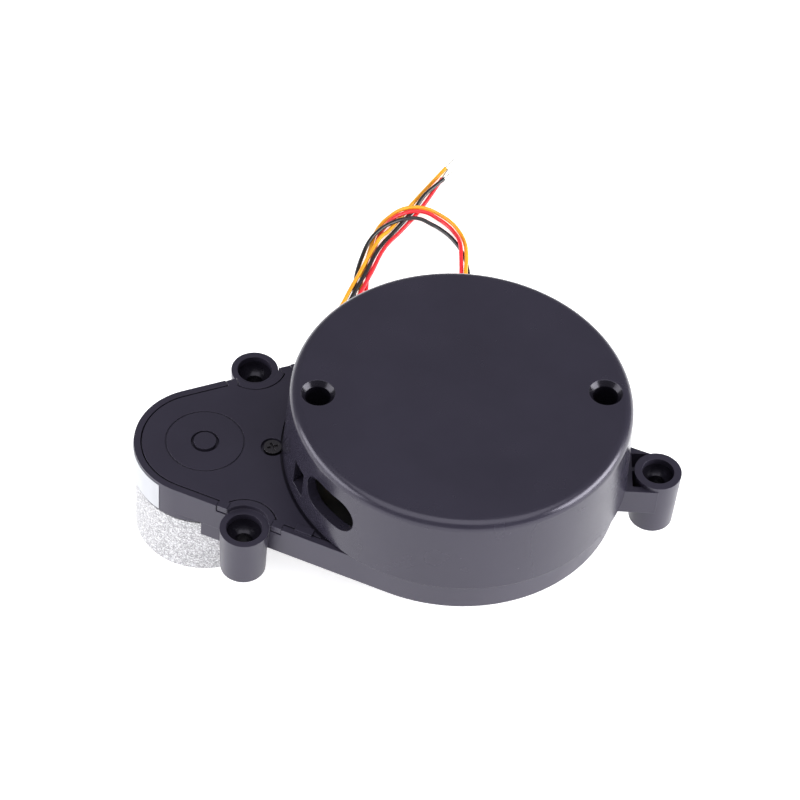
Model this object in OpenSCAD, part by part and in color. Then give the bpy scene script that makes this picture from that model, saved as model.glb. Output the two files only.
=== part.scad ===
// Belt-driven scanning range finder: a sensor turret turning on a flat
// housing, with its drive motor at the -X end and a mounting arm at +X.
// Z = 0 is the standing plane and the turret turns about the Z axis.

/* [Turret] */
// Outside diameter of the turret at its top
turret_d = 66; // [64:0.2:66.4]
// Outside diameter of the turret at its open lower edge
turret_low_d = 67.6; // [67:0.2:68]
// Height of the turret's top face above the standing plane
turret_top = 40.6; // [40.2:0.1:46]
// Thickness of the turret's side wall
turret_wall = 1.6; // [1:0.1:1.6]
// Rounding along the turret's top edge
turret_round = 2; // [1:0.1:3]
// Angle at which the turret rests, seen from above
turret_turn = 4.2; // [0:0.1:8]

/* [Housing] */
// Outline radius round the turret
base_r = 32.4; // [32.4:0.1:33]
// Outline radius round the motor end
end_r = 13.85; // [13.6:0.05:15]
// Distance from the turret axis to the motor axis
motor_x = 48.9; // [48:0.1:54]
// Thickness of the housing's outer wall
wall = 1.3; // [1:0.1:1.4]

/* [Mounting bosses] */
// Outside diameter of the two boss rings beside the motor
boss_d = 9.4; // [9:0.1:9.7]
// Outside diameter of the boss ring on the arm
arm_boss_d = 9.3; // [9:0.1:10]
// Diameter of the screw holes through the bosses
screw_hole_d = 3.4; // [3:0.1:4]
// Height of the boss feet above the standing plane
boss_foot = 10.5; // [9:0.1:12]

/* [Drive] */
// Diameter of the motor's outer sleeve
sleeve_d = 27; // [25.4:0.2:27.4]
// Diameter of the motor can inside the sleeve
can_d = 24.4; // [23.6:0.1:24.4]
// Pitch radius of the turret's belt groove
big_pitch = 26.3; // [25.6:0.1:26.3]
// Pitch radius of the motor pulley's groove
small_pitch = 3.6; // [3.2:0.1:3.8]

/* [Wires] */
// Diameter of the lead wires
wire_d = 0.9; // [0.8:0.1:1]

/* [Hidden] */
$fn = 72;
e = 0.01;

// Levels of the housing
base_z = 16;
floor_z = 17.6;
rim_z = 22.65;
cover_z = 21.15;
end_z = 14.6;
arm_z = 16.4;
arm_top = 23.5;
boss_top = 21.6;

// Places of the bosses, the cover's clips along a side wall, and the arm
boss_x = 40.2;
boss_y = 20.5;
clip_at = [9.1, 20.5];
arm_x = 39.5;
arm_y = -2.4;
arm_pocket_x = 34.5;

// Turret pocket, hub and bearing
pocket_r = 31;
ledge_r = 31.4;
trench_r = 34.2;
turret_low = 23.1;
hub_z = 23.6;
hub_top = 25.2;
belt_z = 19.6;
belt_t = 0.9;
belt_h = 1.8;
ball_r = 1.25;
ball_ring = 12.1;
ball_z = 20.6;
ball_count = 12;

// Turret screws and sensor
hole_r = 27.6;
sense_turn = -147.2;
eye_z = 32.2;
eye_y = 2.9;
laser_y = -7.2;
laser_z = 29.6;

// Tub under the turret
tub_r = 17.5;
tub_wall = 1.6;
lid_t = 1.6;
post_r = 13.2;
post_turns = [30, 150, 270];
outlet_x = 4.2;

plastic = [0.13, 0.13, 0.15];
plastic_dark = [0.08, 0.08, 0.09];
steel = [0.72, 0.73, 0.75];
brass = [0.78, 0.64, 0.34];
board_green = [0.08, 0.30, 0.16];
chip_black = [0.10, 0.10, 0.11];
copper = [0.72, 0.42, 0.22];
cream = [0.90, 0.88, 0.80];

// Routes of the three lead wires over the ground
yellow_path = [
    [4.2, 16.6, 2.6], [4.2, 19.2, 2.6], [3.7, 62, 1], [3.4, 70, 1.5], [3.6, 76, 1.5],
    [3.2, 80.4, 1], [2.1, 84, 0.5], [0.3, 86.8, 0.5], [-2.2, 88.7, 0.8], [-5.2, 89.8, 1.4],
    [-8.4, 89.9, 1.5], [-11, 89, 1.4], [-13.4, 87.2, 0.8], [-15.1, 85.1, 0.5], [-16.4, 82, 0.5],
    [-17.2, 78, 0.5], [-19.2, 64, 0.5], [-18.3, 57.5, 0.5], [-18.1, 53, 0.5], [-19.8, 50.4, 0.5],
    [-22.8, 50.4, 0.5], [-24.6, 53.6, 0.5], [-22.4, 60.6, 1.5], [-19.4, 69, 1.5], [-16.5, 77, 1.5],
    [-15.2, 80, 1.5], [-13.4, 83, 0.8], [-11.2, 87, 0.5], [-8.4, 92, 0.5], [-1.1, 104, 0.5]
];
red_path = [
    [2.9, 16.6, 2.6], [2.9, 19.2, 2.6], [2.4, 62, 0.8], [2.4, 76, 1.5], [2.1, 80, 1.5],
    [1.1, 83.4, 0.6], [-0.5, 85.8, 0.5], [-2.6, 87.5, 0.7], [-5.3, 88.6, 1.4], [-8.2, 88.7, 1.5],
    [-10.4, 87.8, 1.5], [-12.4, 86.4, 1.4], [-14.1, 84.6, 0.6], [-15.4, 81.8, 0.5], [-16.2, 78, 0.5],
    [-17.9, 64, 0.5], [-17, 57.5, 0.5], [-16.8, 50.8, 0.5], [-18.4, 48.2, 0.5], [-21, 48, 0.9],
    [-22.4, 50.4, 1.5], [-19.9, 60.5, 1.5], [-17, 69, 1.5], [-14.2, 77, 1.5], [-10.9, 83, 0.6],
    [-8.5, 87, 0.5], [-5.5, 92.6, 0.5], [-1.9, 100.6, 0.5]
];
black_path = [
    [5.5, 16.6, 2.6], [5.5, 19.2, 2.6], [4.9, 62, 0.5], [4, 72, 0.5], [3, 77, 0.5], [0.5, 81.8, 0.5],
    [-1.9, 84.4, 0.5], [-4.4, 86.1, 0.6], [-6.8, 86.7, 1.3], [-9.2, 86.4, 1.5], [-13.3, 84.2, 1.7],
    [-15.6, 82, 1.6], [-17.3, 79.4, 1.5], [-18.7, 76, 0.8], [-20.5, 64, 0.5], [-19.7, 55, 0.5],
    [-20.4, 53.2, 0.5], [-22.2, 53.2, 0.5], [-23, 55.4, 0.5], [-21.1, 61, 1.5], [-18.2, 69, 1.5],
    [-15.3, 77, 1.5], [-12.2, 83, 0.6], [-9.9, 87, 0.5], [-7.6, 91, 0.5], [-5.8, 94, 1.4],
    [-3.7, 96.8, 1.5], [-1.5, 99.5, 1.5]
];

// Outline of the housing, drawn in by a margin
module outline(margin) {
    r1 = end_r - margin;
    r2 = base_r - margin;
    a = asin((r2 - r1) / motor_x);
    circle(r = r2);
    translate([-motor_x, 0]) circle(r = r1);
    polygon([
        [-motor_x - r1 * sin(a), r1 * cos(a)],
        [-r2 * sin(a), r2 * cos(a)],
        [-r2 * sin(a), -r2 * cos(a)],
        [-motor_x - r1 * sin(a), -r1 * cos(a)]
    ]);
}

// Places a copy on the front and rear side of the housing
module both_sides() {
    children();
    mirror([0, 1, 0]) children();
}

// Slant of the housing's straight side walls
side_a = asin((base_r - end_r) / motor_x);

// Places the children on a side wall, at a distance along it from the motor end
module on_side(along) {
    translate([-motor_x, 0]) rotate(side_a) translate([along, end_r]) children();
}

// Tapered body of a mounting boss
module boss_body(ring_d, top) {
    translate([0, 0, boss_foot]) cylinder(h = top - boss_foot, d1 = ring_d - 0.6, d2 = ring_d);
}

// Round bowl sunk into a boss, with a screw hole through its middle
module boss_bore(bowl_r, top) {
    translate([0, 0, top - 0.6]) {
        cylinder(h = 5, r = bowl_r);
        sphere(r = bowl_r);
    }
    cylinder(h = 60, d = screw_hole_d, center = true);
}

module base_shell() {
    difference() {
        union() {
            translate([0, 0, base_z]) linear_extrude(rim_z - base_z) outline(0);
            translate([-motor_x, 0, end_z]) cylinder(h = 3, r = end_r);
            both_sides() on_side(5.9) translate([0, -1.45, end_z - 2.1]) cube([6.4, 1.4, 5]);
        }
        difference() {
            translate([0, 0, floor_z]) linear_extrude(cover_z - floor_z) outline(wall + 1.1);
            both_sides() translate([-boss_x, boss_y, 0]) cylinder(h = 40, r = 6.1);
        }
        difference() {
            translate([0, 0, cover_z]) linear_extrude(rim_z) outline(wall);
            both_sides() translate([-boss_x, boss_y, 0]) cylinder(h = 60, r = 6.1);
        }
        translate([0, 0, floor_z]) cylinder(h = 20, r = pocket_r);
        both_sides() translate([-boss_x, boss_y, boss_top]) cylinder(h = 5, d = boss_d + 0.2);
        both_sides() for (s = clip_at) {
            on_side(s - 0.1) translate([0, -1.95, cover_z - 0.15]) cube([2.3, 2.2, 3]);
        }
    }
}

module arm() {
    front = arm_y - arm_boss_d / 2 - 0.1;
    difference() {
        translate([0, 0, arm_z]) linear_extrude(rim_z - 0.15 - arm_z) polygon([
            [30.6, front],
            [arm_x, front],
            [arm_x + 1.2, arm_y + 4.4],
            [arm_pocket_x, arm_y + 6.8],
            [30.6, arm_y + 7.8]
        ]);
        translate([arm_pocket_x, arm_y - 3.4, arm_z + 0.9]) cube([8, 4, 10]);
        translate([arm_pocket_x, arm_y + 1.5, arm_z + 0.9]) cube([8, 3.7, 10]);
        translate([arm_x, arm_y, arm_z]) cylinder(h = 10, r = 3.4);
    }
}

module base_housing() {
    color(plastic) difference() {
        union() {
            base_shell();
            both_sides() translate([-boss_x, boss_y, 0]) boss_body(boss_d, boss_top);
            translate([arm_x, arm_y, 0]) boss_body(arm_boss_d, arm_top);
            arm();
            translate([-35.7, -0.6, floor_z - e]) cylinder(h = cover_z - floor_z, r = 2.4);
            translate([0, 0, base_z]) cylinder(h = 4.6, r = 9.5);
            translate([0, 0, base_z]) cylinder(h = 2.4, r = 10.6);
            both_sides() on_side(25.1) {
                translate([0, -1.25, rim_z - 0.1]) cube([3.5, 0.4, 0.7]);
                translate([0, -2.4, rim_z + 0.05]) cube([3.5, 1.55, 0.55]);
            }
        }
        both_sides() translate([-boss_x, boss_y, 0]) boss_bore(3.45, boss_top);
        translate([arm_x, arm_y, 0]) boss_bore(3.15, arm_top);
        translate([-35.7, -0.6, floor_z + 0.4]) cylinder(h = 6, r = 0.8);
        translate([0, 0, 10]) cylinder(h = 20, r = 7.2);
        translate([-motor_x, 0, 0]) cylinder(h = 30, r = 3.1);
        for (s = [-8, 8]) translate([-motor_x, s, 0]) cylinder(h = 30, r = 1.1);
    }
}

module central_tub() {
    color(plastic) difference() {
        union() {
            difference() {
                translate([0, 0, lid_t]) cylinder(h = base_z - lid_t, r = tub_r);
                translate([0, 0, lid_t - e]) cylinder(h = base_z, r = tub_r - tub_wall);
            }
            for (a = post_turns) rotate(a) {
                translate([post_r, 0, lid_t]) cylinder(h = base_z - lid_t - 0.05, r = 2.2);
                translate([post_r + 1.5, -1, lid_t]) cube([tub_r - post_r - 2.2, 2, base_z - lid_t - 0.05]);
            }
        }
        for (a = post_turns) rotate(a) translate([post_r, 0, 0]) cylinder(h = 8, r = 0.8);
        translate([outlet_x, tub_r - 1, lid_t + 1]) cube([5, 4, 2.2], center = true);
        for (y = [-1.2, 1.2]) {
            translate([-tub_r - 1, y, 3.2]) rotate([0, 90, 0]) cylinder(h = 4, r = 0.62);
        }
    }
}

module belt_cover() {
    post = [-35.7, -0.6, 0];
    color(plastic) difference() {
        union() {
            intersection() {
                difference() {
                    translate([0, 0, cover_z]) linear_extrude(rim_z - cover_z) outline(wall + 0.3);
                    both_sides() translate([-boss_x, boss_y, 0]) cylinder(h = 60, r = 6.35);
                    translate([0, 0, cover_z + 0.5]) cylinder(h = 20, r = trench_r);
                    cylinder(h = 60, r = ledge_r);
                }
                translate([-70, -40, 0]) cube([46, 80, 60]);
            }
            translate([-motor_x, 0, rim_z - e]) cylinder(h = 0.2, r = 2.2);
            both_sides() for (s = clip_at) {
                on_side(s) translate([0, -1.85, cover_z + 0.05]) cube([2.1, 1.7, rim_z - cover_z - 0.05]);
            }
        }
        translate([-motor_x, 0, rim_z]) rotate_extrude() translate([2.2, -0.9]) square([0.55, 3]);
        translate([-motor_x, 0, rim_z]) rotate_extrude() translate([7.5, -0.25]) square([0.3, 3]);
        translate(post) translate([0, 0, rim_z - 0.8]) cylinder(h = 3, r = 2.3);
        translate(post) cylinder(h = 60, r = 1.1);
    }
}

// Pan-head screw with a cross recess, its head seated at z = 0
module screw(head_r, head_h, shank_r, long) {
    difference() {
        union() {
            cylinder(h = head_h, r = head_r);
            translate([0, 0, -long]) cylinder(h = long + e, r = shank_r);
        }
        translate([0, 0, head_h]) cube([head_r * 1.25, head_r * 0.3, head_h], center = true);
        translate([0, 0, head_h]) cube([head_r * 0.3, head_r * 1.25, head_h], center = true);
    }
}

module cover_screw() {
    color(steel) translate([-35.7, -0.6, rim_z - 0.8]) rotate(20) screw(1.75, 0.9, 0.8, 3.7);
}

module bottom_cover() {
    color(plastic_dark) difference() {
        cylinder(h = lid_t, r = tub_r);
        for (a = post_turns) rotate(a) translate([post_r, 0, -e]) {
            cylinder(h = 3, r = 0.95);
            cylinder(h = 0.9, r = 1.9);
        }
        for (x = [-6, -2, 2, 6]) translate([x, 0, 1]) cube([1.2, 9, 4], center = true);
    }
}

module bottom_screws() {
    color(steel) for (a = post_turns) {
        rotate(a) translate([post_r, 0, 0.89]) rotate([180, 0, 0]) screw(1.7, 0.7, 0.8, 5);
    }
}

module motor_sleeve() {
    color(steel) translate([-motor_x, 0, 0]) difference() {
        cylinder(h = 13.9, d = sleeve_d);
        translate([0, 0, -e]) cylinder(h = 20, d = can_d);
        translate([10, -2.2, -e]) cube([6, 4.4, 1.9]);
    }
}

module motor_can() {
    color(steel) translate([-motor_x, 0, 0]) difference() {
        union() {
            translate([0, 0, 0.3]) cylinder(h = 14.3, d = can_d);
            translate([0, 0, 14.5]) cylinder(h = 1.4, r = 3);
        }
        translate([0, 0, 0.3 - e]) cylinder(h = 13.3, d = can_d - 1.6);
        cylinder(h = 30, r = 1.05);
        for (s = [-8, 8]) translate([0, s, 10]) cylinder(h = 8, r = 0.8);
        translate([10, -2.2, 0]) cube([6, 4.4, 1.9]);
    }
}

module motor_end_cap() {
    color(cream) translate([-motor_x, 0, 0]) difference() {
        translate([0, 0, 0.9]) cylinder(h = 1.8, d = can_d - 1.7);
        translate([0, 0, 1.3]) cylinder(h = 4, r = 1.05);
        for (y = [-1.2, 1.2]) translate([8, y, 0.3]) cube([13, 0.9, 2.6], center = true);
    }
}

module motor_magnets() {
    color(chip_black) translate([-motor_x, 0, 3]) difference() {
        cylinder(h = 9.6, d = can_d - 1.7);
        translate([0, 0, -e]) cylinder(h = 12, r = 9.6);
        translate([0, 0, 5]) cube([40, 3, 20], center = true);
    }
}

module motor_leads() {
    color([0.75, 0.1, 0.1]) for (y = [-1.2, 1.2]) {
        translate([-motor_x + 6, y, 1.1]) rotate([0, 90, 0]) cylinder(h = 12, r = 0.4);
        translate([-motor_x + 18, y, 0.7]) cylinder(h = 2.9, r = 0.4);
        translate([-motor_x + 17.6, y, 3.2]) rotate([0, 90, 0]) cylinder(h = 15.7, r = 0.4);
    }
}

module motor_screws() {
    color(steel) for (s = [-8, 8]) translate([-motor_x, s, floor_z]) rotate(30) screw(1.6, 0.7, 0.8, 6);
}

module motor_shaft() {
    color(steel) translate([-motor_x, 0, 1.4]) cylinder(h = 19.6, r = 1);
}

module motor_armature() {
    color(copper) translate([-motor_x, 0, 3.6]) difference() {
        union() {
            cylinder(h = 7.6, r = 9);
            translate([0, 0, -0.7]) cylinder(h = 0.8, r = 3);
        }
        translate([0, 0, -2]) cylinder(h = 12, r = 1);
        for (a = [0, 120, 240]) rotate(a) translate([8, 0, 4]) cube([6, 1.2, 12], center = true);
    }
}

module motor_pulley() {
    color(brass) translate([-motor_x, 0, 0]) difference() {
        translate([0, 0, 18.1]) cylinder(h = 2.9, r = small_pitch + 0.6);
        translate([0, 0, 17]) cylinder(h = 6, r = 1);
        translate([0, 0, belt_z - belt_h / 2 - 0.1]) rotate_extrude() {
            translate([small_pitch - belt_t / 2 - 0.05, 0]) square([5, belt_h + 0.2]);
        }
    }
}

// Line round both pulleys, at a distance outside the belt's pitch line
module belt_line(out) {
    a = asin((big_pitch - small_pitch) / motor_x);
    r1 = small_pitch + out;
    r2 = big_pitch + out;
    big = [for (k = [0 : 48]) let (t = -90 - a + k * (180 + 2 * a) / 48) r2 * [cos(t), sin(t)]];
    small = [
        for (k = [0 : 16])
            let (t = 90 + a + k * (180 - 2 * a) / 16) [-motor_x, 0] + r1 * [cos(t), sin(t)]
    ];
    polygon(concat(big, small));
}

module drive_belt() {
    color(chip_black) translate([0, 0, belt_z - belt_h / 2]) linear_extrude(belt_h) difference() {
        belt_line(belt_t / 2);
        belt_line(-belt_t / 2);
    }
}

module main_board() {
    color(board_green) difference() {
        translate([0, 0, 6]) cylinder(h = 1.2, r = tub_r - tub_wall - 0.3);
        for (a = post_turns) rotate(a) translate([post_r, 0, 0]) {
            cylinder(h = 20, r = 2.3);
            translate([0, -2.3, 0]) cube([4, 4.6, 20]);
        }
    }
}

module main_chips() {
    color(chip_black) {
        translate([-6, -8, 7.2]) cube([7, 7, 1]);
        translate([4.6, -8.4, 7.2]) cube([4, 5, 1.4]);
        translate([-8, 4, 7.2]) cube([5, 4, 1.6]);
        translate([3, 3, 7.2]) cylinder(h = 5, r = 2.2);
    }
}

module wire_socket() {
    color(cream) difference() {
        translate([outlet_x - 3.2, 9, 2]) cube([6.4, 4.6, 4]);
        for (x = [-1.3, 0, 1.3]) {
            translate([outlet_x + x, 15, 2.9]) rotate([90, 0, 0]) cylinder(h = 4, r = 0.5);
        }
    }
}

module wire_grommet() {
    color(plastic_dark) difference() {
        union() {
            translate([outlet_x - 2.45, tub_r - 2.2, lid_t + 0.05]) cube([4.9, 2.3, 2]);
            translate([outlet_x - 2.9, tub_r + 0.05, lid_t - 0.1]) cube([5.8, 1, 2.3]);
        }
        for (x = [-1.3, 0, 1.3]) {
            translate([outlet_x + x, tub_r + 3, 2.6]) rotate([90, 0, 0]) cylinder(h = 9, r = wire_d / 2 + 0.05);
        }
    }
}

module coil_board() {
    color(board_green) difference() {
        translate([0, 0, 20.6]) cylinder(h = 0.8, r = 9);
        cylinder(h = 40, r = 1.6);
    }
}

module coil(z) {
    color(copper) translate([0, 0, z]) rotate_extrude() translate([3, 0]) square([4, 0.9]);
}

module lower_coil() {
    coil(21.4);
}

module ir_emitter() {
    color([0.5, 0.5, 0.62]) {
        translate([0, 0, 19.6]) cylinder(h = 2, r = 1.5);
        translate([0, 0, 21.6]) intersection() {
            sphere(r = 1.5);
            cylinder(h = 3, r = 2);
        }
    }
}

// Ring of a ball race with its rolling groove
module race(r1, r2) {
    color(steel) translate([0, 0, ball_z]) rotate_extrude() difference() {
        translate([r1, -2]) square([r2 - r1, 4]);
        translate([ball_ring, 0]) circle(r = ball_r + 0.04);
    }
}

module bearing_inner_race() {
    race(9.5, 11.4);
}

module bearing_outer_race() {
    race(12.8, 14.6);
}

module bearing_balls() {
    color(steel) for (k = [0 : ball_count - 1]) {
        rotate(k * 360 / ball_count) translate([ball_ring, 0, ball_z]) sphere(r = ball_r, $fn = 24);
    }
}

module bearing_cage() {
    color(cream) translate([0, 0, ball_z]) difference() {
        rotate_extrude() translate([ball_ring - 0.5, -1.7]) square([1, 3.4]);
        for (k = [0 : ball_count - 1]) rotate(k * 360 / ball_count) {
            translate([ball_ring - 2, 0, 0]) rotate([0, 90, 0]) cylinder(h = 4, r = ball_r + 0.06);
        }
    }
}

module speed_sensor() {
    color(chip_black) rotate(90) difference() {
        translate([27.2, -2.2, floor_z]) cube([3.6, 4.4, 5.2]);
        translate([28.3, -3, 20.4]) cube([1.3, 6, 5]);
    }
}

module end_label() {
    color("white") translate([-motor_x, 0, 15]) rotate(150) {
        rotate_extrude(angle = 84) translate([end_r, 0]) square([0.1, 6.9]);
    }
}

// The turret's pieces are drawn with its two top screws on the X axis
module turned() {
    rotate(turret_turn) children();
}

// Sensor pieces look along +X, then are turned to face out through the windows
module facing() {
    turned() rotate(sense_turn) children();
}

module turret_profile() {
    r_top = turret_d / 2;
    r_low = turret_low_d / 2;
    polygon([
        [0, turret_low],
        [r_low, turret_low],
        [r_top, turret_top - turret_round],
        [r_top - turret_round, turret_top],
        [0, turret_top]
    ]);
    translate([r_top - turret_round, turret_top - turret_round]) circle(r = turret_round);
}

module turret_cap() {
    inner = turret_d / 2 - turret_wall;
    color(plastic) turned() difference() {
        union() {
            difference() {
                rotate_extrude($fn = 180) turret_profile();
                translate([0, 0, turret_low - e]) cylinder(h = 2.2, r = turret_low_d / 2 - turret_wall, $fn = 180);
                cylinder(h = turret_top - 2, r = inner, $fn = 180);
            }
            for (s = [-1, 1]) translate([s * hole_r, 0, 27.8]) cylinder(h = turret_top - 28.8, r = 3.6);
        }
        for (s = [-1, 1]) translate([s * hole_r, 0, 0]) {
            translate([0, 0, 29.3]) cylinder(h = 20, r = 2.45);
            cylinder(h = 40, r = 1);
            translate([0, 0, turret_top - 1]) cylinder(h = 1 + e, r1 = 2.45, r2 = 3.3);
        }
        rotate(sense_turn) {
            eye_window();
            laser_window();
        }
    }
}

module eye_window() {
    translate([20, eye_y, 31.8]) rotate([0, 90, 0]) {
        for (s = [-2.8, 2.8]) translate([0, s, 0]) cylinder(h = 20, r = 3.8);
        translate([-3.8, -2.8, 0]) cube([7.6, 5.6, 20]);
    }
}

module laser_window() {
    translate([20, laser_y - 2, laser_z - 3.4]) cube([20, 4, 6]);
}

module turret_screws() {
    color(steel) turned() for (s = [-1, 1]) {
        translate([s * hole_r, 0, 29.3]) rotate(15) screw(1.9, 1.1, 0.95, 5);
    }
}

module turret_hub() {
    color(plastic_dark) turned() difference() {
        union() {
            translate([0, 0, hub_z]) cylinder(h = hub_top - hub_z, r = 31, $fn = 120);
            translate([0, 0, 18.2]) cylinder(h = hub_z - 18.1, r = big_pitch + 0.3, $fn = 120);
            for (s = [-1, 1]) translate([s * hole_r, 0, hub_top - e]) cylinder(h = 27.8 - hub_top, r = 3);
        }
        translate([0, 0, 18]) cylinder(h = hub_z - 18, r = 24.2, $fn = 120);
        translate([0, 0, belt_z - belt_h / 2 - 0.1]) rotate_extrude($fn = 120) {
            translate([big_pitch - belt_t / 2 - 0.05, 0]) square([5, belt_h + 0.2]);
        }
        cylinder(h = 40, r = 2);
        for (s = [-1, 1]) translate([s * hole_r, 0, hub_z - e]) cylinder(h = 8, r = 0.95);
    }
    color(plastic_dark) turned() translate([0, 0, 18.7]) {
        rotate_extrude() translate([14.6, 0]) square([1.8, hub_z - 18.6]);
    }
}

module slotted_ring() {
    color(chip_black) turned() difference() {
        translate([0, 0, 20.9]) rotate_extrude($fn = 120) translate([28.6, 0]) square([0.6, hub_z - 20.9]);
        for (k = [0 : 14]) rotate(k * 24) translate([28, -1.4, 20]) cube([2, 2.8, 2.4]);
    }
}

module turret_board() {
    color(board_green) facing() difference() {
        translate([0, 0, hub_top]) cylinder(h = 1.2, r = 24);
        cylinder(h = 40, r = 2);
    }
}

module turret_chips() {
    color(chip_black) facing() {
        translate([-14, -4, hub_top + 1.2]) cube([8, 8, 1.2]);
        translate([-12, 9, hub_top + 1.2]) cube([6, 5, 1.6]);
        translate([-10, -15, hub_top + 1.2]) cube([5, 4, 1]);
        translate([-19, 5, hub_top + 1.2]) cylinder(h = 4.5, r = 2);
    }
}

module optical_frame() {
    z0 = hub_top + 1.2;
    color(plastic_dark) facing() difference() {
        union() {
            translate([5, -11, z0]) cube([16.5, 20, 1.6]);
            translate([12, -11, z0]) cube([9, 7.6, 9.6]);
            translate([11, -2.8, z0]) cube([10, 11.4, 10.4]);
        }
        translate([8, laser_y, laser_z]) rotate([0, 90, 0]) cylinder(h = 20, r = 3.02);
        translate([8, eye_y, eye_z]) rotate([0, 90, 0]) cylinder(h = 20, r = 4.42);
    }
}

module laser_module() {
    color(brass) facing() translate([10, laser_y, laser_z]) rotate([0, 90, 0]) difference() {
        cylinder(h = 15, r = 3);
        translate([0, 0, 13.6]) cylinder(h = 3, r1 = 1.2, r2 = 2.4);
        translate([0, 0, 12]) cylinder(h = 3, r = 1.2);
    }
}

module lens_barrel() {
    color(chip_black) facing() translate([10.6, eye_y, eye_z]) rotate([0, 90, 0]) difference() {
        union() {
            cylinder(h = 15.4, r = 4.4);
            translate([0, 0, 11.4]) cylinder(h = 4, r = 4.7);
        }
        translate([0, 0, -1]) cylinder(h = 13, r = 3.2);
        translate([0, 0, 11.9]) cylinder(h = 5, r = 3.7);
    }
}

module receiver_lens() {
    color([0.55, 0.62, 0.78]) facing() translate([22.5, eye_y, eye_z]) rotate([0, 90, 0]) {
        cylinder(h = 1, r = 3.7);
        translate([0, 0, -5]) intersection() {
            sphere(r = 7.04);
            translate([0, 0, 5.9]) cylinder(h = 3, r = 3.7);
        }
    }
}

module sensor_board() {
    color(board_green) facing() translate([7.2, eye_y - 7, hub_top + 2.9]) cube([1.2, 13, 9.6]);
}

module image_sensor() {
    color(chip_black) facing() translate([8.4, eye_y - 4.2, eye_z - 2.6]) cube([1.9, 8.4, 5.2]);
}

module upper_coil() {
    turned() coil(22.7);
}

module ir_receiver() {
    color([0.2, 0.2, 0.24]) translate([0, 0, 23.7]) cylinder(h = 3.4, r = 1.9);
}

module balance_weight() {
    color(steel) facing() translate([-23, -9, hub_top + 1.2]) cube([4, 8, 3]);
}

// Eight-sided wire swept along a route over the ground
module wire(path, d) {
    n = len(path);
    function heading(i) =
        let (v = path[min(i + 1, n - 1)] - path[max(i - 1, 0)]) v / norm(v);
    points = [
        for (i = [0 : n - 1])
            let (t = heading(i), s = cross([0, 0, 1], t), side = s / norm(s), up = cross(t, side))
            for (k = [0 : 7])
                path[i] + d / 2 * (cos(45 * k + 22.5) * side + sin(45 * k + 22.5) * up)
    ];
    faces = concat(
        [[for (k = [0 : 7]) k]],
        [for (i = [0 : n - 2]) for (k = [0 : 7])
            [i * 8 + k, (i + 1) * 8 + k, (i + 1) * 8 + (k + 1) % 8, i * 8 + (k + 1) % 8]],
        [[for (k = [7 : -1 : 0]) (n - 1) * 8 + k]]
    );
    polyhedron(points, faces);
}

// Tinned strand standing out of a wire's cut end
module strand(path) {
    last = path[len(path) - 1];
    v = last - path[len(path) - 2];
    a = atan2(v[1], v[0]);
    color(steel) translate(last) rotate([0, 90, a]) translate([0, 0, 0.02]) cylinder(h = 3.6, r = 0.3);
}

module wire_yellow() {
    color([0.95, 0.68, 0.1]) wire(yellow_path, wire_d);
}

module wire_red() {
    color([0.85, 0.12, 0.14]) wire(red_path, wire_d);
}

module wire_black() {
    color([0.06, 0.06, 0.07]) wire(black_path, wire_d);
}

module strand_yellow() {
    strand(yellow_path);
}

module strand_red() {
    strand(red_path);
}

module strand_black() {
    strand(black_path);
}

base_housing();
central_tub();
belt_cover();
cover_screw();
bottom_cover();
bottom_screws();
motor_sleeve();
motor_can();
motor_end_cap();
motor_magnets();
motor_leads();
motor_screws();
motor_shaft();
motor_armature();
motor_pulley();
drive_belt();
main_board();
main_chips();
wire_socket();
wire_grommet();
coil_board();
lower_coil();
ir_emitter();
bearing_inner_race();
bearing_outer_race();
bearing_balls();
bearing_cage();
speed_sensor();
end_label();
turret_cap();
turret_screws();
turret_hub();
slotted_ring();
turret_board();
turret_chips();
optical_frame();
laser_module();
lens_barrel();
receiver_lens();
sensor_board();
image_sensor();
upper_coil();
ir_receiver();
balance_weight();
wire_yellow();
wire_red();
wire_black();
strand_yellow();
strand_red();
strand_black();
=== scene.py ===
"""Looks for a belt-driven scanning range finder: a round turret on a flat housing with a motor beside it.

Everything is in metres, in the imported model's frame: the turret turns about Z and stands over Z = 0.
"""

import math

import bpy
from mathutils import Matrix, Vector


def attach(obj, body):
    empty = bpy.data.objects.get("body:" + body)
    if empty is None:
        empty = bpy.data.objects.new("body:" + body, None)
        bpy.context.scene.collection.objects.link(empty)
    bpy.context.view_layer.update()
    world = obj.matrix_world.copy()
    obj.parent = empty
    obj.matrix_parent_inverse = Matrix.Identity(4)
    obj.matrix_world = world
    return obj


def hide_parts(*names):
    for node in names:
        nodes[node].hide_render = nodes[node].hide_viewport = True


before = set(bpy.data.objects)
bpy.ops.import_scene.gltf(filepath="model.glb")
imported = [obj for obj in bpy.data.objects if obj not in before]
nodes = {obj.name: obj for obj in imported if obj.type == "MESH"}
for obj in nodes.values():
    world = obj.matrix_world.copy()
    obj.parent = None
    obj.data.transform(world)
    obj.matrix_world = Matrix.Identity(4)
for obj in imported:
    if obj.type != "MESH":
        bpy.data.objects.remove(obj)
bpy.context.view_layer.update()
scene = bpy.context.scene
MM = 0.001

# ---------------------------------------------------------------- camera
CAMERA_AT = (-0.0310, -0.3847, 0.4630)
CAMERA_TURN = (42.04, -3.46, 0.97)
camera_data = bpy.data.cameras.new("camera")
camera_data.lens = 135
camera_data.sensor_width = 36
camera_data.clip_start = 0.02
camera_data.clip_end = 20
camera = bpy.data.objects.new("camera", camera_data)
camera.location = CAMERA_AT
camera.rotation_euler = [math.radians(angle) for angle in CAMERA_TURN]
scene.collection.objects.link(camera)
scene.camera = camera

# ---------------------------------------------------------------- lead wires
WIRE_D = 0.9 * MM

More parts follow.
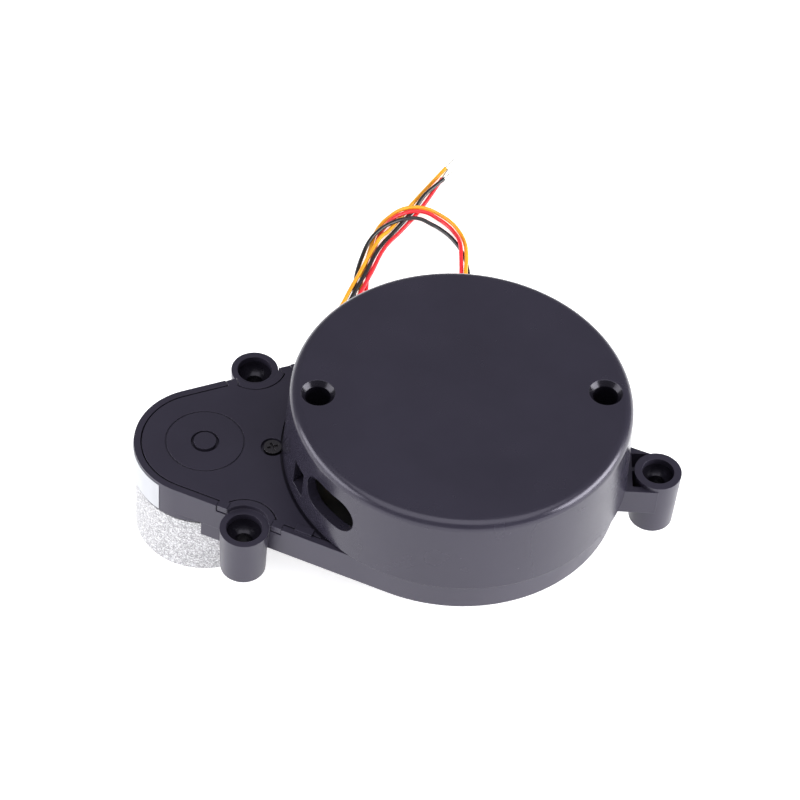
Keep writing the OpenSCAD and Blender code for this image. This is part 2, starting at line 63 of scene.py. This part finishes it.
# Each wire's middle line in mm, from inside the tub's grommet to the cut end.
ROUTES = {
    "yellow": [
        (4.2, 16.6, 2.6), (4.2, 19.2, 2.6), (3.7, 62, 1), (3.4, 70, 1.5), (3.6, 76, 1.5),
        (3.2, 80.4, 1), (2.1, 84, 0.5), (0.3, 86.8, 0.5), (-2.2, 88.7, 0.8), (-5.2, 89.8, 1.4),
        (-8.4, 89.9, 1.5), (-11, 89, 1.4), (-13.4, 87.2, 0.8), (-15.1, 85.1, 0.5), (-16.4, 82, 0.5),
        (-17.2, 78, 0.5), (-19.2, 64, 0.5), (-18.3, 57.5, 0.5), (-18.1, 53, 0.5), (-19.8, 50.4, 0.5),
        (-22.8, 50.4, 0.5), (-24.6, 53.6, 0.5), (-22.4, 60.6, 1.5), (-19.4, 69, 1.5), (-16.5, 77, 1.5),
        (-15.2, 80, 1.5), (-13.4, 83, 0.8), (-11.2, 87, 0.5), (-8.4, 92, 0.5), (-1.1, 104, 0.5),
    ],
    "red": [
        (2.9, 16.6, 2.6), (2.9, 19.2, 2.6), (2.4, 62, 0.8), (2.4, 76, 1.5), (2.1, 80, 1.5),
        (1.1, 83.4, 0.6), (-0.5, 85.8, 0.5), (-2.6, 87.5, 0.7), (-5.3, 88.6, 1.4), (-8.2, 88.7, 1.5),
        (-10.4, 87.8, 1.5), (-12.4, 86.4, 1.4), (-14.1, 84.6, 0.6), (-15.4, 81.8, 0.5), (-16.2, 78, 0.5),
        (-17.9, 64, 0.5), (-17, 57.5, 0.5), (-16.8, 50.8, 0.5), (-18.4, 48.2, 0.5), (-21, 48, 0.9),
        (-22.4, 50.4, 1.5), (-19.9, 60.5, 1.5), (-17, 69, 1.5), (-14.2, 77, 1.5), (-10.9, 83, 0.6),
        (-8.5, 87, 0.5), (-5.5, 92.6, 0.5), (-1.9, 100.6, 0.5),
    ],
    "black": [
        (5.5, 16.6, 2.6), (5.5, 19.2, 2.6), (4.9, 62, 0.5), (4, 72, 0.5), (3, 77, 0.5), (0.5, 81.8, 0.5),
        (-1.9, 84.4, 0.5), (-4.4, 86.1, 0.6), (-6.8, 86.7, 1.3), (-9.2, 86.4, 1.5), (-13.3, 84.2, 1.7),
        (-15.6, 82, 1.6), (-17.3, 79.4, 1.5), (-18.7, 76, 0.8), (-20.5, 64, 0.5), (-19.7, 55, 0.5),
        (-20.4, 53.2, 0.5), (-22.2, 53.2, 0.5), (-23, 55.4, 0.5), (-21.1, 61, 1.5), (-18.2, 69, 1.5),
        (-15.3, 77, 1.5), (-12.2, 83, 0.6), (-9.9, 87, 0.5), (-7.6, 91, 0.5), (-5.8, 94, 1.4),
        (-3.7, 96.8, 1.5), (-1.5, 99.5, 1.5),
    ],
}


# The tinned strands past a wire's cut end: one in the middle and the others round it. Lengths are in mm, the
# twist is in degrees, and each strand is drawn in a number of steps.
STRANDS = 7
STRAND_R = 0.095
STRIPPED = 3.5
UNEVEN = 0.12
TUCKED_IN = 0.3
SPREAD = 0.19
GATHER = 0.03
TWIST = 75
STEPS = 5


def add_spline(curve, points, radius):
    """Adds a smooth spline through the points."""
    spline = curve.splines.new("BEZIER")
    spline.bezier_points.add(len(points) - 1)
    for knot, point in zip(spline.bezier_points, points):
        knot.co = knot.handle_left = knot.handle_right = point
        knot.radius = radius
        knot.handle_left_type = knot.handle_right_type = "AUTO"


def tube(name, lines, radius, smooth):
    """A curve object of round tubes along one or more lines."""
    curve = bpy.data.curves.new(name, "CURVE")
    curve.dimensions = "3D"
    curve.bevel_depth = 1
    curve.bevel_resolution = smooth
    curve.resolution_u = 8
    curve.use_fill_caps = True
    for line in lines:
        add_spline(curve, line, radius)
    piece = bpy.data.objects.new(name, curve)
    scene.collection.objects.link(piece)
    return piece


def tinned_end(name, end, along):
    """Fine tinned strands, twisted together a little, out of a wire's cut end."""
    side = along.cross(Vector((0, 0, 1))).normalized()
    up = side.cross(along)
    lines = []
    for k in range(STRANDS):
        length = (STRIPPED - UNEVEN * (k % 3)) * MM
        line = []
        for step in range(STEPS + 1):
            share = step / STEPS
            out = 0 if k == 0 else (SPREAD - GATHER * share) * MM
            turn = math.radians(360 / (STRANDS - 1) * k + TWIST * share)
            forward = share * length - TUCKED_IN * MM * (1 - share)
            outward = math.cos(turn) * side + math.sin(turn) * up
            line.append(end + along * forward + out * outward)
        lines.append(line)
    return tube(name, lines, STRAND_R * MM, smooth=2)


wires = {}
for colour, route in ROUTES.items():
    points = [Vector(p) * MM for p in route]
    wire = tube("lead_" + colour, [points], WIRE_D / 2, smooth=5)
    tip = tinned_end("tinned_" + colour, points[-1], (points[-1] - points[-2]).normalized())
    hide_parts("wire_" + colour)
    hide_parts("strand_" + colour)
    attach(wire, "housing")
    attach(tip, "housing")
    wires[colour] = (wire, tip)


# ---------------------------------------------------------------- materials
BEVEL_SAMPLES = 4

# The colour sockets of a Mix node, whose names are shared with its other sockets.
MIX_SHARE, MIX_A, MIX_B, MIX_OUT = 0, 6, 7, 2

# The inside of a bowl or a screw hole: the share of the plastic's colour kept there as painted shade, its
# gloss, its shine, and the width in mm over which it begins.
HOLE_PAINTED_SHADE = 0.3
HOLE_ROUGH = 0.24
HOLE_SHINE = 0.32
HOLE_EDGE = 0.1


class Nodes:
    """Shorthand for building one material's node tree."""

    def __init__(self, name):
        self.material = bpy.data.materials.new(name)
        self.material.use_nodes = True
        self.tree = self.material.node_tree
        self.shader = self.tree.nodes["Principled BSDF"]
        self.where = self.tree.nodes.new("ShaderNodeTexCoord").outputs["Object"]

    def add(self, kind, inputs=(), **settings):
        node = self.tree.nodes.new(kind)
        for key, value in settings.items():
            setattr(node, key, value)
        for key, value in dict(inputs).items():
            self.put(node.inputs[key], value)
        return node

    def put(self, socket, value):
        if isinstance(value, bpy.types.NodeSocket):
            self.tree.links.new(value, socket)
        else:
            socket.default_value = value

    def noise(self, scale, detail, rough=0.55, where=None):
        node = self.add(
            "ShaderNodeTexNoise",
            {"Vector": where or self.where, "Scale": scale, "Detail": detail, "Roughness": rough},
        )
        return node.outputs["Fac"]

    def ranged(self, value, low, high, out_low, out_high):
        node = self.add(
            "ShaderNodeMapRange",
            {"Value": value, "From Min": low, "From Max": high, "To Min": out_low, "To Max": out_high},
        )
        return node.outputs["Result"]

    def mixed(self, share, a, b):
        node = self.add("ShaderNodeMix", data_type="RGBA")
        self.put(node.inputs[MIX_SHARE], share)
        self.put(node.inputs[MIX_A], a)
        self.put(node.inputs[MIX_B], b)
        return node.outputs[MIX_OUT]

    def maths(self, operation, a, b):
        node = self.add("ShaderNodeMath", operation=operation)
        self.put(node.inputs[0], a)
        self.put(node.inputs[1], b)
        return node.outputs[0]

    def tones(self, cloud, colour, first, second, low=0.3):
        """The colour at two strengths, blended by a cloud."""
        return self.mixed(self.ranged(cloud, low, 0.7, 0, 1), rgba(colour, first), rgba(colour, second))

    def rounded(self, edge):
        """The surface's direction with its edges rounded by a radius in mm."""
        return self.add("ShaderNodeBevel", {"Radius": edge * MM}, samples=BEVEL_SAMPLES).outputs["Normal"]

    def surface(self, inputs):
        """Sets the shader's inputs, each to a value or to another node's output."""
        for key, value in inputs.items():
            self.put(self.shader.inputs[key], value)

    def relief(self, height, strength, depth, normal=None):
        """Raises the surface by a height, depth in mm, on top of its direction or a given one."""
        inputs = {"Strength": strength, "Distance": depth * MM, "Height": height}
        if normal is not None:
            inputs["Normal"] = normal
        self.surface({"Normal": self.add("ShaderNodeBump", inputs).outputs["Normal"]})


def rgba(colour, times=1.0):
    """The colour with full opacity, made stronger or weaker."""
    return (*[min(1.0, c * times) for c in colour], 1.0)


def in_round_holes(n, holes):
    """One within the upright round holes, each of them given as x, y and radius in mm, zero elsewhere."""
    split = n.add("ShaderNodeSeparateXYZ", {"Vector": n.where})
    flat = n.add("ShaderNodeCombineXYZ", {"X": split.outputs["X"], "Y": split.outputs["Y"]})
    inside = 0
    for x, y, radius in holes:
        away = n.add("ShaderNodeVectorMath", operation="DISTANCE")
        n.put(away.inputs[0], flat.outputs["Vector"])
        n.put(away.inputs[1], (x * MM, y * MM, 0))
        near = n.ranged(away.outputs["Value"], (radius - HOLE_EDGE) * MM, radius * MM, 1, 0)
        inside = n.maths("MAXIMUM", near, inside)
    return inside


def plastic(
    name, colour, rough, grain=0.004, grain_size=0.25, edge=0.15, shine=0.5, wear=0.25,
    holes=(), tint=(1, 1, 1),
):
    """Moulded plastic: fine spark-eroded grain, cloudy gloss, soft edges, paler worn corners and painted shade
    inside any given holes.

    The grain's depth and size and the edge's radius are in mm.
    """
    n = Nodes(name)
    fleck = n.noise(1 / (grain_size * MM), 2)
    base = n.tones(n.noise(45, 4), colour, 0.9, 1.12)
    rounded = n.rounded(edge)
    facing = n.add("ShaderNodeVectorMath", operation="DOT_PRODUCT")
    n.put(facing.inputs[0], rounded)
    n.put(facing.inputs[1], n.add("ShaderNodeNewGeometry").outputs["Normal"])
    corner = n.ranged(facing.outputs["Value"], 0.97, 0.8, 0, wear)
    corner = n.maths("MULTIPLY", corner, n.ranged(n.noise(900, 2), 0.35, 0.65, 0.3, 1))
    base = n.mixed(corner, base, rgba(colour, 4))
    gloss = n.ranged(n.noise(120, 5), 0.3, 0.7, rough - 0.05, rough + 0.05)
    if holes:
        inside = in_round_holes(n, holes)
        # Painted shade: the plastic's colour is darkened inside the bowls and screw holes.
        base = n.mixed(inside, base, rgba(colour, HOLE_PAINTED_SHADE))
        gloss = n.maths("MINIMUM", gloss, n.ranged(inside, 0, 1, 1, HOLE_ROUGH))
        shine = n.ranged(inside, 0, 1, shine, HOLE_SHINE)
    n.surface({
        "Base Color": base, "Roughness": gloss, "Specular IOR Level": shine, "Specular Tint": rgba(tint),
    })
    n.relief(fleck, 0.6, grain, rounded)
    return n.material


def metal(name, colour, rough, grain=0.003, grain_size=0.2, stretch=(1, 1, 1), edge=0.08):
    """Machined or plated metal: brushed or speckled grain, uneven gloss and soft edges."""
    n = Nodes(name)
    place = n.add("ShaderNodeMapping", {"Vector": n.where, "Scale": stretch}).outputs["Vector"]
    fleck = n.noise(1 / (grain_size * MM), 4, 0.6, place)
    n.surface({
        "Base Color": n.tones(n.noise(150, 4), colour, 1, 0.9, low=0.35),
        "Metallic": 1.0,
        "Roughness": n.ranged(fleck, 0.3, 0.7, rough - 0.07, rough + 0.09),
    })
    n.relief(fleck, 0.7, grain, n.rounded(edge))
    return n.material


def zinc_plate():
    """Frosted, speckled zinc: crystals that catch the light one by one over a pale matt ground."""
    n = Nodes("zinc_plate")
    crystal = n.add("ShaderNodeTexVoronoi", {"Vector": n.where, "Scale": 4300}).outputs["Color"]
    bright = n.add("ShaderNodeSeparateColor", {"Color": crystal}).outputs[0]
    both = n.maths("MULTIPLY", bright, n.noise(5200, 3))
    dull, fresh = rgba((0.33, 0.325, 0.34)), rgba((0.72, 0.72, 0.735))
    n.surface({
        "Base Color": n.mixed(n.ranged(both, 0.1, 0.5, 0, 1), dull, fresh),
        "Metallic": 0.55,
        "Roughness": n.ranged(both, 0.1, 0.5, 0.62, 0.42),
    })
    n.relief(both, 0.8, 0.02, n.rounded(0.25))
    return n.material


def vinyl(name, colour):
    """Soft wire insulation with a waxy sheen and faint draw marks."""
    n = Nodes(name)
    n.surface({
        "Base Color": n.tones(n.noise(220, 3), colour, 0.88, 1.08),
        "Roughness": n.ranged(n.noise(1500, 3), 0.3, 0.7, 0.28, 0.42),
        "Subsurface Weight": 0.08,
        "Subsurface Radius": (0.0006, 0.0003, 0.0002),
        "Coat Weight": 0.15,
    })
    n.relief(n.noise(2500, 2), 0.4, 0.01)
    return n.material


def circuit_board(name, colour):
    """Solder mask over faint copper areas."""
    n = Nodes(name)
    cells = n.add("ShaderNodeTexVoronoi", {"Vector": n.where, "Scale": 420}, distance="CHEBYCHEV")
    area = n.ranged(cells.outputs["Distance"], 0.35, 0.4, 0, 1)
    n.surface({
        "Base Color": n.mixed(area, rgba(colour), rgba(colour, 1.8)),
        "Roughness": n.ranged(n.noise(500, 3), 0.3, 0.7, 0.22, 0.38),
    })
    n.relief(area, 0.5, 0.03)
    return n.material


def winding(name, colour):
    """Enamelled copper wire, wound in fine turns."""
    pitch = 0.25 * MM
    n = Nodes(name)
    split = n.add("ShaderNodeSeparateXYZ", {"Vector": n.where})
    height = n.maths("SINE", n.maths("MULTIPLY", split.outputs["Z"], 2 * math.pi / pitch), 0)
    cloud = n.noise(300, 3)
    n.surface({
        "Base Color": n.tones(cloud, colour, 0.8, 1.1),
        "Metallic": 0.85,
        "Roughness": n.ranged(cloud, 0.3, 0.7, 0.25, 0.4),
        "Coat Weight": 0.5,
    })
    n.relief(height, 0.8, 0.06)
    return n.material


def lens_glass():
    """Coated lens glass with a faint cool tint and a trace of dust."""
    n = Nodes("lens_glass")
    n.surface({
        "Base Color": rgba((0.72, 0.80, 0.98)),
        "Transmission Weight": 0.85,
        "IOR": 1.52,
        "Roughness": n.ranged(n.noise(700, 4), 0.45, 0.75, 0.02, 0.1),
        "Coat Weight": 1.0,
        "Coat Tint": rgba((0.6, 0.5, 1.0)),
    })
    return n.material


HOUSING = (0.0240, 0.0212, 0.0345)
TURRET = (0.0212, 0.0190, 0.0305)
SHEEN = (0.88, 0.85, 1.0)

# The turret cap's screw holes and the bosses' bowls, darkened with painted shade: x, y and radius in mm.
CAP_HOLES = [(27.5, 2.0, 3.3), (-27.5, -2.0, 3.3)]
BOWLS = [(-40.2, 20.5, 3.45), (-40.2, -20.5, 3.45), (39.5, -2.4, 3.15)]

looks = {
    "housing": plastic("housing_plastic", HOUSING, 0.34, holes=BOWLS, tint=SHEEN),
    "tub": plastic("tub_plastic", HOUSING, 0.42, tint=SHEEN),
    "cover": plastic("cover_plastic", HOUSING, 0.34, grain=0.002, tint=SHEEN),
    "turret": plastic(
        "turret_plastic", TURRET, 0.24, grain=0.0006, edge=0.2, wear=0.1, holes=CAP_HOLES, tint=SHEEN
    ),
    "inner": plastic("inner_plastic", (0.014, 0.014, 0.015), 0.5),
    "rubber": plastic("black_rubber", (0.015, 0.015, 0.016), 0.6, grain=0.01),
    "chip": plastic("chip_epoxy", (0.02, 0.02, 0.022), 0.55, grain=0.006, grain_size=0.12),
    "cream": plastic("cream_plastic", (0.74, 0.69, 0.56), 0.4, wear=0),
    "label": plastic("label_film", (0.45, 0.46, 0.49), 0.42, grain=0.0015, edge=0.03, wear=0),
    "smoked": plastic("smoked_epoxy", (0.03, 0.02, 0.05), 0.12, grain=0.0005, shine=0.7, wear=0),
    "oxide": metal("black_oxide", (0.10, 0.095, 0.105), 0.3, grain=0.002),
    "steel": metal("machined_steel", (0.62, 0.63, 0.65), 0.28, stretch=(1, 1, 8)),
    "magnet": metal("magnet_ferrite", (0.10, 0.10, 0.11), 0.55, grain=0.01),
    "brass": metal("turned_brass", (0.78, 0.58, 0.26), 0.26, stretch=(1, 1, 10)),
    "anodised": metal("anodised_black", (0.03, 0.03, 0.035), 0.35),
    "tinned": metal("tinned_copper", (0.95, 0.93, 0.88), 0.4, grain_size=0.1, edge=0.02),
    "zinc": zinc_plate(),
    "lead": vinyl("lead_insulation", (0.55, 0.03, 0.03)),
    "yellow": vinyl("wire_yellow", (0.90, 0.38, 0.015)),
    "red": vinyl("wire_red", (0.74, 0.02, 0.03)),
    "black": vinyl("wire_black", (0.012, 0.012, 0.014)),
    "board": circuit_board("solder_mask", (0.012, 0.10, 0.045)),
    "copper": winding("copper_winding", (0.72, 0.33, 0.16)),
    "glass": lens_glass(),
}

# The CAD pieces that wear each look.
WEARS = {
    "housing": ["base_housing"],
    "tub": ["central_tub"],
    "cover": ["belt_cover"],
    "turret": ["turret_cap"],
    "inner": ["bottom_cover", "turret_hub", "slotted_ring", "optical_frame"],
    "rubber": ["drive_belt", "wire_grommet"],
    "chip": ["main_chips", "speed_sensor", "turret_chips", "image_sensor"],
    "cream": ["motor_end_cap", "wire_socket", "bearing_cage"],
    "label": ["end_label"],
    "smoked": ["ir_emitter", "ir_receiver"],
    "oxide": ["cover_screw", "bottom_screws", "turret_screws"],
    "steel": [
        "motor_can", "motor_screws", "motor_shaft", "bearing_inner_race", "bearing_outer_race",
        "bearing_balls", "balance_weight",
    ],
    "magnet": ["motor_magnets"],
    "brass": ["motor_pulley", "laser_module"],
    "anodised": ["lens_barrel"],
    "zinc": ["motor_sleeve"],
    "lead": ["motor_leads"],
    "board": ["main_board", "coil_board", "turret_board", "sensor_board"],
    "copper": ["motor_armature", "lower_coil", "upper_coil"],
    "glass": ["receiver_lens"],
}


def dress(piece, look):
    """Gives a piece one material."""
    piece.data.materials.clear()
    piece.data.materials.append(looks[look])


for look, names in WEARS.items():
    for name in names:
        dress(nodes[name], look)
for colour, (wire, tip) in wires.items():
    dress(wire, colour)
    dress(tip, "tinned")


# ---------------------------------------------------------------- floor and light
FLOOR_HALF = 3.0
FLOOR_Z = -0.0002
FLOOR_GLOW = 0.65
LIGHTS_AIM = (0, 0, 0.02)
SKY_COLOUR = (0.95, 0.95, 1.0)
SKY = {"From Min": 0.0, "From Max": 0.3, "To Min": 0.5, "To Max": 0.3}


def pale_floor():
    """A plain white floor just under the model, lit from within so that it stays white."""
    corners = [(-1, -1), (1, -1), (1, 1), (-1, 1)]
    mesh = bpy.data.meshes.new("floor")
    mesh.from_pydata([(x * FLOOR_HALF, y * FLOOR_HALF, FLOOR_Z) for x, y in corners], [], [(0, 1, 2, 3)])
    floor = bpy.data.objects.new("floor", mesh)
    scene.collection.objects.link(floor)
    n = Nodes("floor_paper")
    n.surface({
        "Base Color": rgba((0.92, 0.92, 0.93)),
        "Roughness": 0.9,
        "Emission Color": rgba((1, 1, 1)),
        "Emission Strength": FLOOR_GLOW,
    })
    mesh.materials.append(n.material)


def soft_light(name, place, size, power):
    """A white rectangular light, aimed at the turret."""
    data = bpy.data.lights.new(name, "AREA")
    data.shape = "RECTANGLE"
    data.size, data.size_y = size
    data.energy = power
    light = bpy.data.objects.new(name, data)
    light.location = place
    light.rotation_euler = (Vector(LIGHTS_AIM) - Vector(place)).to_track_quat("-Z", "Y").to_euler()
    scene.collection.objects.link(light)


def studio_sky():
    """A dim ceiling over a bright, even horizon."""
    world = bpy.data.worlds.new("studio")
    world.use_nodes = True
    tree = world.node_tree
    where = tree.nodes.new("ShaderNodeTexCoord").outputs["Generated"]
    split = tree.nodes.new("ShaderNodeSeparateXYZ")
    tree.links.new(where, split.inputs[0])
    ramp = tree.nodes.new("ShaderNodeMapRange")
    tree.links.new(split.outputs["Z"], ramp.inputs["Value"])
    for key, value in SKY.items():
        ramp.inputs[key].default_value = value
    background = tree.nodes["Background"]
    background.inputs["Color"].default_value = rgba(SKY_COLOUR)
    tree.links.new(ramp.outputs["Result"], background.inputs["Strength"])
    scene.world = world


pale_floor()
studio_sky()
soft_light("overhead", (0, -0.4, 1.3), (2.0, 1.2), 14.5)
soft_light("left", (-0.85, -0.1, 0.3), (0.8, 0.4), 6)
soft_light("right", (0.8, -0.1, 0.3), (0.7, 0.4), 10.5)
scene.view_settings.view_transform = "Standard"
